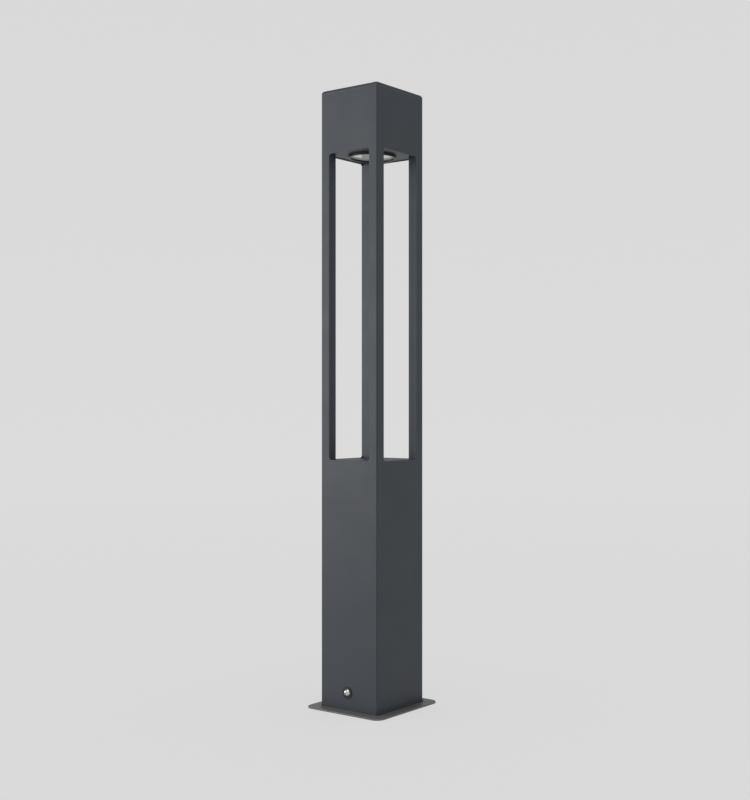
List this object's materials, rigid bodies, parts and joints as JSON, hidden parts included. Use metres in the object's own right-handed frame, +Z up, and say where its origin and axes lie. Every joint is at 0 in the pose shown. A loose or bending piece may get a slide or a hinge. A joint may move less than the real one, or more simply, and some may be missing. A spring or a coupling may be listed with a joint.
{
  "type": "bollard light",
  "caption": "Slim square bollard light: open light chamber between corner posts, closed head with a round downlight, thin flange base.",
  "frame": {"origin": "centre of the base plate's underside, on the ground", "axes": "+Z up along the column; -Y is the front face with the side screw; +X is to the right"},
  "size_m": [0.125, 0.125, 0.8],
  "materials": {
    "anthracite_paint": "satin",
    "black_paint": "satin",
    "stainless_steel": "polished",
    "zinc_steel": "satin",
    "bare_aluminium": "matte",
    "black_rubber": "matte",
    "silicone": "matte",
    "lens_glass": "satin",
    "reflector_white": "satin",
    "board_white": "satin",
    "led_phosphor": "satin",
    "pad_grey": "matte",
    "driver_case": "matte",
    "box_grey": "matte",
    "terminal_white": "matte",
    "gland_black": "matte",
    "brass": "satin",
    "tinned_copper": "satin",
    "black_sheath": "matte",
    "led_core": "satin",
    "earth_sheath": "satin"
  },
  "bodies": {
    "root": {"base_plate": "anthracite_paint", "base_tabs": "zinc_steel", "board_screws": "stainless_steel", "box_lid": "box_grey", "box_screws": "stainless_steel", "box_seal": "silicone", "bracket_screws": "stainless_steel", "cable_grommet": "black_rubber", "cap_gasket": "black_rubber", "cap_screws": "stainless_steel", "ceiling_cleats": "zinc_steel", "ceiling_plate": "anthracite_paint", "ceiling_rivets": "bare_aluminium", "ceiling_screws": "black_paint", "ceiling_studs": "zinc_steel", "clinch_nuts": "zinc_steel", "column": "anthracite_paint", "corner_plugs": "bare_aluminium", "driver_bracket": "zinc_steel", "driver_screws": "stainless_steel", "earth_grommet": "black_rubber", "earth_hardware": "brass", "earth_lead": "earth_sheath", "earth_lug": "tinned_copper", "earth_stud": "brass", "foot_gasket": "black_rubber", "gear_tray": "zinc_steel", "head_lead": "black_sheath", "heat_sink": "bare_aluminium", "lead_gland": "gland_black", "lead_grommets": "black_rubber", "led_board": "board_white", "led_chips": "led_phosphor", "led_driver": "driver_case", "led_leads": "led_core", "lens_bezel": "black_paint", "lens_gasket": "silicone", "lens_glass": "lens_glass", "lid_screws": "stainless_steel", "reflector": "reflector_white", "side_screws": "stainless_steel", "side_washers": "black_rubber", "sill_cleats": "zinc_steel", "sill_gasket": "black_rubber", "sill_plate": "anthracite_paint", "sill_rivets": "bare_aluminium", "sill_screws": "black_paint", "stud_nuts": "stainless_steel", "supply_gland": "gland_black", "tab_welds": "zinc_steel", "terminal_block": "terminal_white", "terminal_box": "box_grey", "terminal_screws": "brass", "thermal_pad": "pad_grey", "top_cap": "anthracite_paint", "tray_screws": "stainless_steel"}
  },
  "joints": []
}
